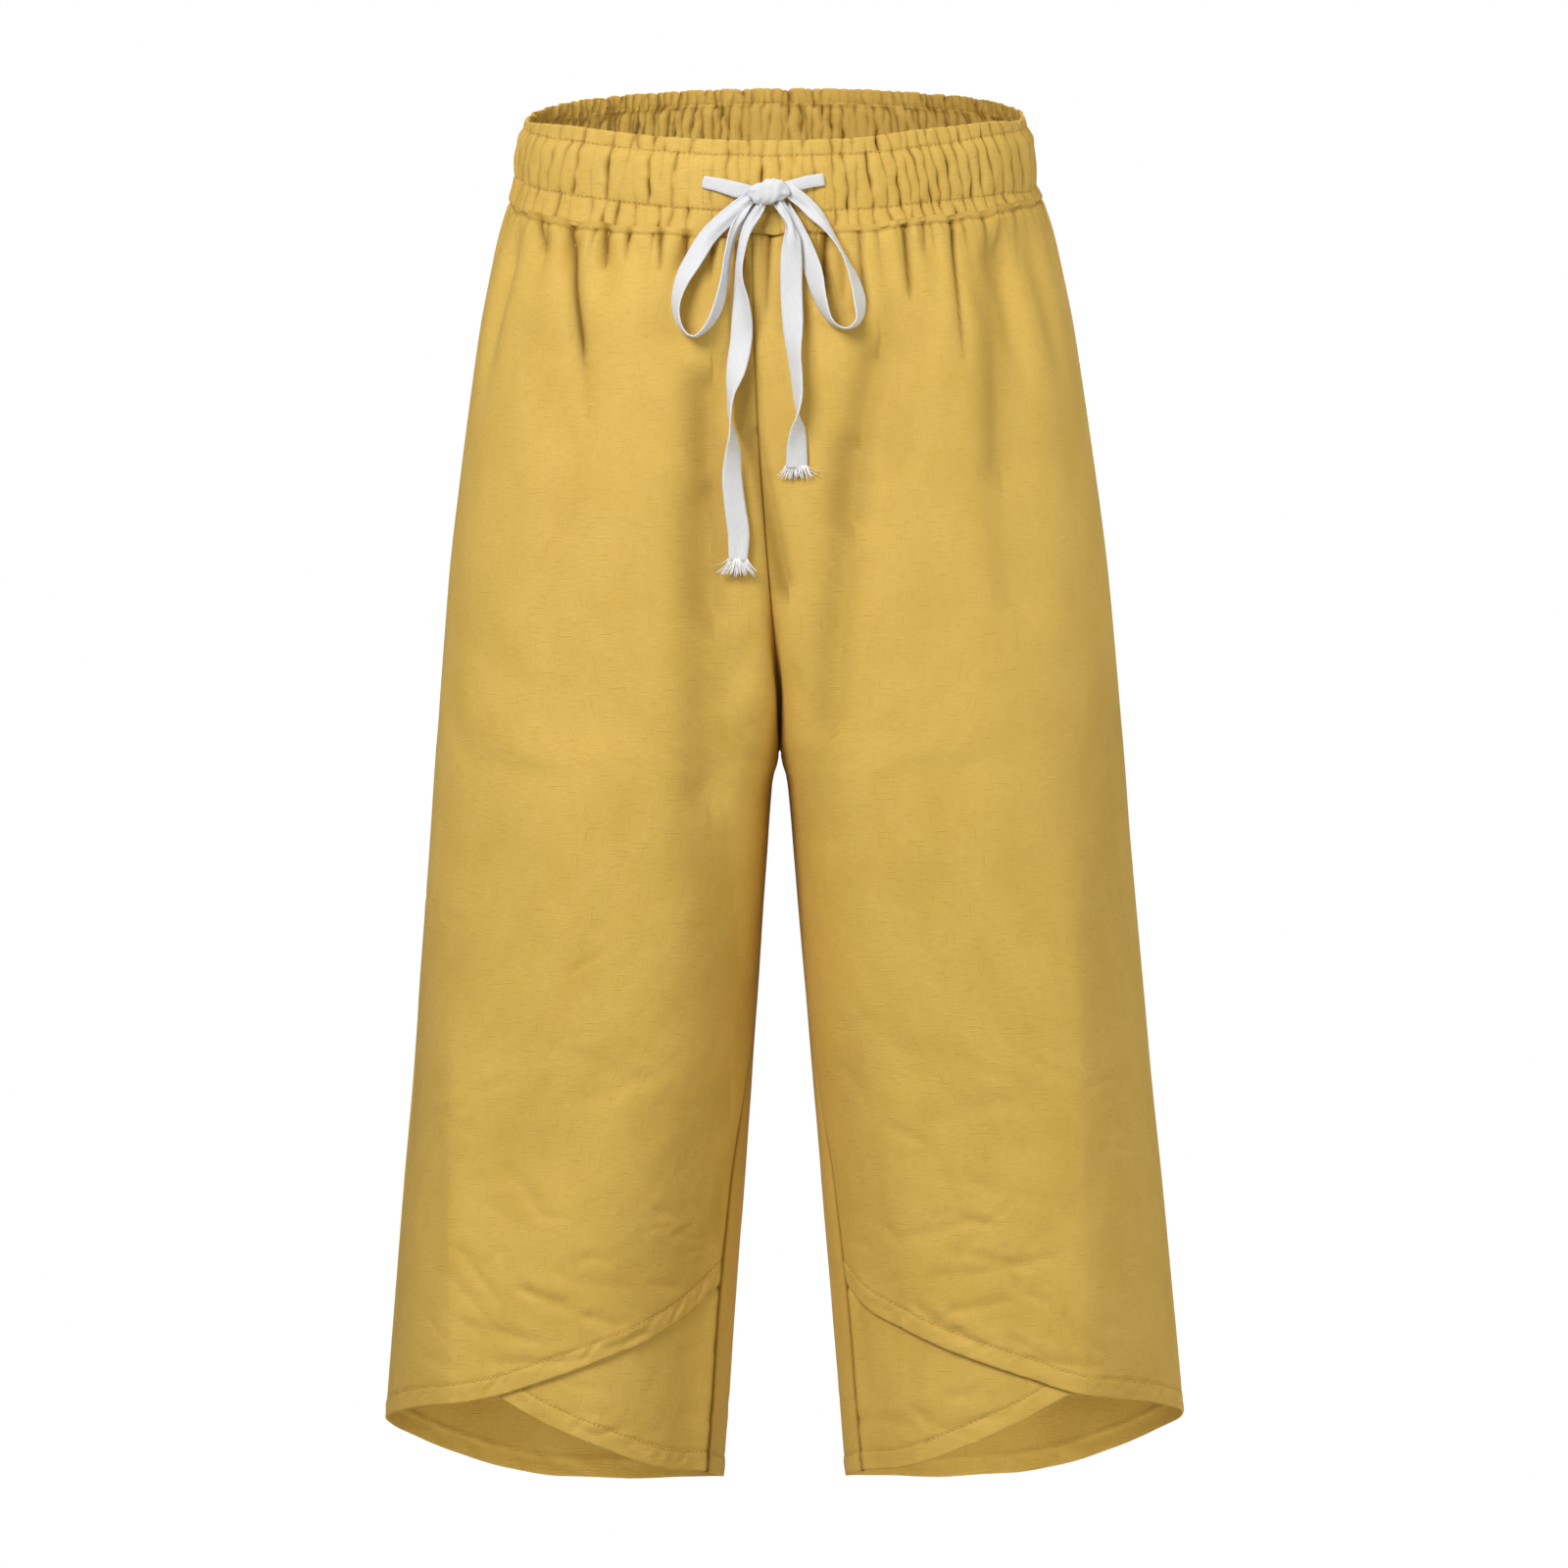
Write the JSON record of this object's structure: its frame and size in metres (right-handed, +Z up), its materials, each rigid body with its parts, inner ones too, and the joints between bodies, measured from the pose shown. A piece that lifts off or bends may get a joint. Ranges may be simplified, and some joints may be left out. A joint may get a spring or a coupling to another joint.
{
  "type": "culottes",
  "caption": "Wide cropped trousers, worn pose, hollow, with gathered elastic waistband, drawstring bow and petal hems; soft gathers run into full straight legs.",
  "frame": {"origin": "middle of the waist opening, at the height of the elastic channel", "axes": "+Z up, out of the waist; -Y to the front, where the bow is; +X to the wearer's left"},
  "size_m": [0.444, 0.2454, 0.7875],
  "materials": {
    "mustard_linen": "matte plain weave",
    "white_cotton_tape": "matte woven tape"
  },
  "bodies": {
    "root": {"waistband_front": "mustard_linen", "waistband_back_left": "mustard_linen", "waistband_back_right": "mustard_linen", "front_left": "mustard_linen", "front_right": "mustard_linen", "back_left": "mustard_linen", "back_right": "mustard_linen", "under_petal_left": "mustard_linen", "under_petal_right": "mustard_linen", "knot": "white_cotton_tape", "lead_left": "white_cotton_tape", "lead_right": "white_cotton_tape", "loop_left": "white_cotton_tape", "loop_right": "white_cotton_tape", "end_left": "white_cotton_tape", "end_right": "white_cotton_tape", "frayed_tip_left": "white_cotton_tape", "frayed_tip_right": "white_cotton_tape"}
  },
  "joints": []
}
